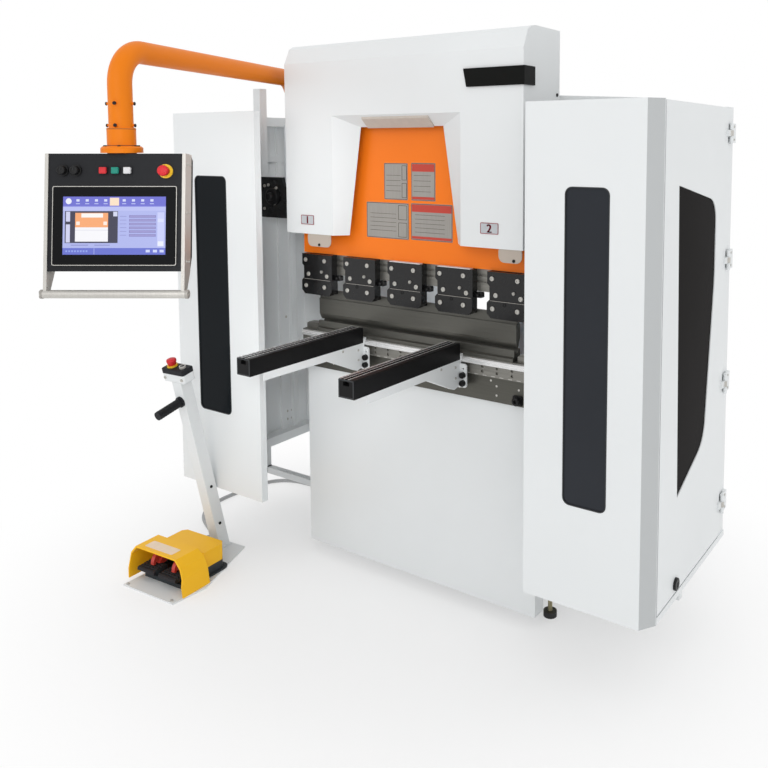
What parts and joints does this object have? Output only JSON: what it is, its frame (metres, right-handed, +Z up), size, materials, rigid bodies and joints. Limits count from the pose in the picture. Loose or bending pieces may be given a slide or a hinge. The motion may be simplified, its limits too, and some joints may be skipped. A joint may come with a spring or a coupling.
{
  "type": "press brake",
  "caption": "Small hydraulic press brake with side guards, sheet supports, swinging control pendant and foot pedal stand.",
  "frame": {"origin": "on the floor, on the machine's centre plane, below the outer face of the bed's front panel", "axes": "+X along the bend line to the operator's right, +Y from the operator to the back, +Z up"},
  "size_m": [2.257, 1.9163, 2.056],
  "materials": {
    "white_paint": "semi-gloss powder coat",
    "grey_paint": "satin powder coat",
    "orange_paint": "semi-gloss enamel",
    "black_steel": "black oxide, oiled",
    "ground_steel": "ground",
    "tool_steel": "hardened and ground",
    "bright_steel": "polished rail",
    "black_profile": "black anodised",
    "dark_pane": "smoked polycarbonate",
    "rubber_pad": "matt",
    "console_black": "fine texture",
    "silver_rail": "satin anodised",
    "screen": "lit display",
    "button_red": "gloss",
    "yellow_plastic": "satin",
    "cast_dark": "painted dark grey",
    "conduit_metal": "zinc plated spiral",
    "lamp_panel": "diffuser"
  },
  "bodies": {
    "machine": {"side_frame_left": "grey_paint", "side_frame_right": "grey_paint", "top_beam": "grey_paint", "bed_table": "grey_paint", "rear_cabinet": "grey_paint", "rear_panel": "grey_paint", "arm_post": "grey_paint", "table_bar": "ground_steel", "ram_guides": "ground_steel", "cylinder_left": "ground_steel", "cylinder_right": "ground_steel", "guide_rail": "bright_steel", "bed_front_panel": "white_paint", "hood": "white_paint", "guard_front_left": "white_paint", "guard_front_right": "white_paint", "guard_frame_left": "white_paint", "guard_frame_right": "white_paint", "pedal_plate": "white_paint", "pedal_post": "white_paint", "switch_box": "white_paint", "carrier_channel": "white_paint", "lower_die": "tool_steel", "hood_badge": "black_steel", "carrier_plate": "black_steel", "hood_lamp": "lamp_panel", "levelling_feet": "rubber_pad", "guard_window_left": "dark_pane", "guard_window_right": "dark_pane", "stand_grip": "console_black", "switch_cover": "console_black", "switch_stop": "button_red", "pedal_cover": "yellow_plastic", "pedal_block": "cast_dark", "pedal_conduit": "conduit_metal", "conduit_glands": "conduit_metal"},
    "ram_group": {"ram": "orange_paint", "clamp_bar": "ground_steel", "clamp_1": "black_steel", "clamp_2": "black_steel", "clamp_3": "black_steel", "clamp_4": "black_steel", "clamp_5": "black_steel", "punch": "tool_steel"},
    "door_left_group": {"guard_door_left": "white_paint"},
    "door_right_group": {"guard_door_right": "white_paint", "door_window_right": "dark_pane"},
    "arm_group": {"pendant_arm": "orange_paint"},
    "console_group": {"pendant_box": "console_black", "pendant_screen": "screen", "pendant_handle": "silver_rail", "pendant_buttons": "console_black", "pendant_stop": "button_red"},
    "support_left_group": {"support_arm_left": "black_profile", "arm_bracket_left": "white_paint"},
    "support_right_group": {"support_arm_right": "black_profile", "arm_bracket_right": "white_paint"},
    "pedal_left_group": {"pedal_left": "cast_dark"},
    "pedal_right_group": {"pedal_right": "cast_dark"}
  },
  "joints": [
    {"name": "ram_stroke", "type": "slide", "parent": "machine", "child": "ram_group", "axis": [0, 0, 1], "range_m": [0, 0.15]},
    {"name": "door_left_hinge", "type": "hinge", "parent": "machine", "child": "door_left_group", "pos_m": [-1.085, 0.44, 1], "axis": [0, 0, 1], "range_deg": [-110, 0]},
    {"name": "door_right_hinge", "type": "hinge", "parent": "machine", "child": "door_right_group", "pos_m": [1.036, 0.44, 1], "axis": [0, 0, 1], "range_deg": [0, 110]},
    {"name": "arm_swing", "type": "hinge", "parent": "machine", "child": "arm_group", "pos_m": [-0.7, 0.115, 1.8], "axis": [0, 0, 1], "range_deg": [-80, 7]},
    {"name": "console_turn", "type": "hinge", "parent": "arm_group", "child": "console_group", "pos_m": [-0.341, -0.93, 1.66], "axis": [0, 0, 1], "range_deg": [-60, 60]},
    {"name": "support_left_slide", "type": "slide", "parent": "machine", "child": "support_left_group", "axis": [1, 0, 0], "range_m": [-0.24, 0.15]},
    {"name": "support_right_slide", "type": "slide", "parent": "machine", "child": "support_right_group", "axis": [1, 0, 0], "range_m": [-0.15, 0.24]},
    {"name": "pedal_left_press", "type": "hinge", "parent": "machine", "child": "pedal_left_group", "pos_m": [-0.84282, -0.41053, 0.062], "axis": [0.9978, 0.0663, 0], "range_deg": [0, 5], "stiffness_Nm_per_rad": 20, "springref_deg": -28.65},
    {"name": "pedal_right_press", "type": "hinge", "parent": "machine", "child": "pedal_right_group", "pos_m": [-0.84282, -0.41053, 0.062], "axis": [0.9978, 0.0663, 0], "range_deg": [0, 5], "stiffness_Nm_per_rad": 20, "springref_deg": -28.65}
  ]
}
